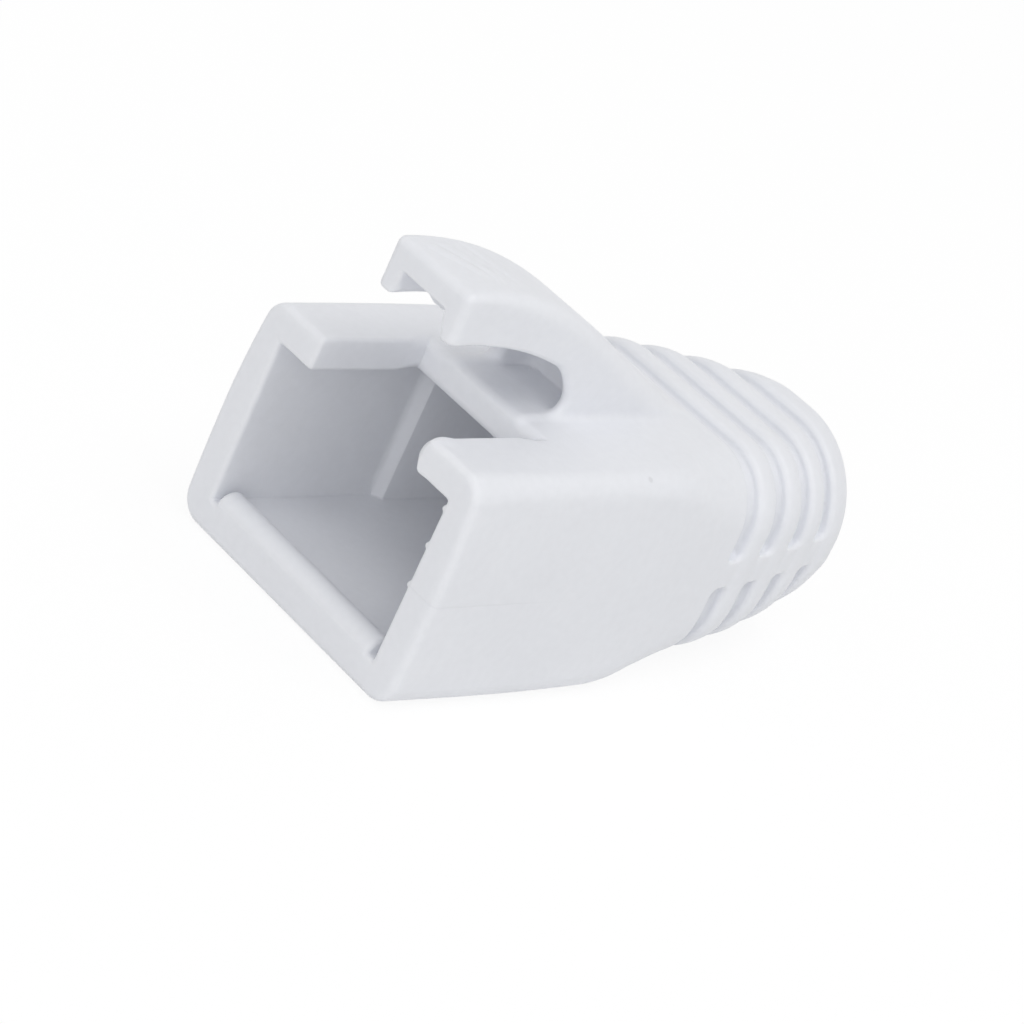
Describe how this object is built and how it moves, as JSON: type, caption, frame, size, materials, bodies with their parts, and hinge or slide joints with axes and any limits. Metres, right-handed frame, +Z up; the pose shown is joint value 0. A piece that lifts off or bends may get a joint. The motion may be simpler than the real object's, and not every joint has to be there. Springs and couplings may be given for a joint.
{
  "type": "rj45 strain relief boot",
  "caption": "Soft plastic boot that slides over the cable end of a modular plug: square socket with a roof notch, a raised hood that guards the latch, and a tapered ribbed tail.",
  "frame": {"origin": "middle of the underside at the plane of the mouth, on the boot's plane of symmetry", "axes": "+Z up, from the underside to the hood; +Y from the mouth back along the cable; +X to the right when looking from the mouth towards the tail"},
  "size_m": [0.0156, 0.029, 0.0174],
  "materials": {
    "boot": "satin, soft pale grey PVC"
  },
  "bodies": {
    "root": {"boot": "boot"}
  },
  "joints": []
}
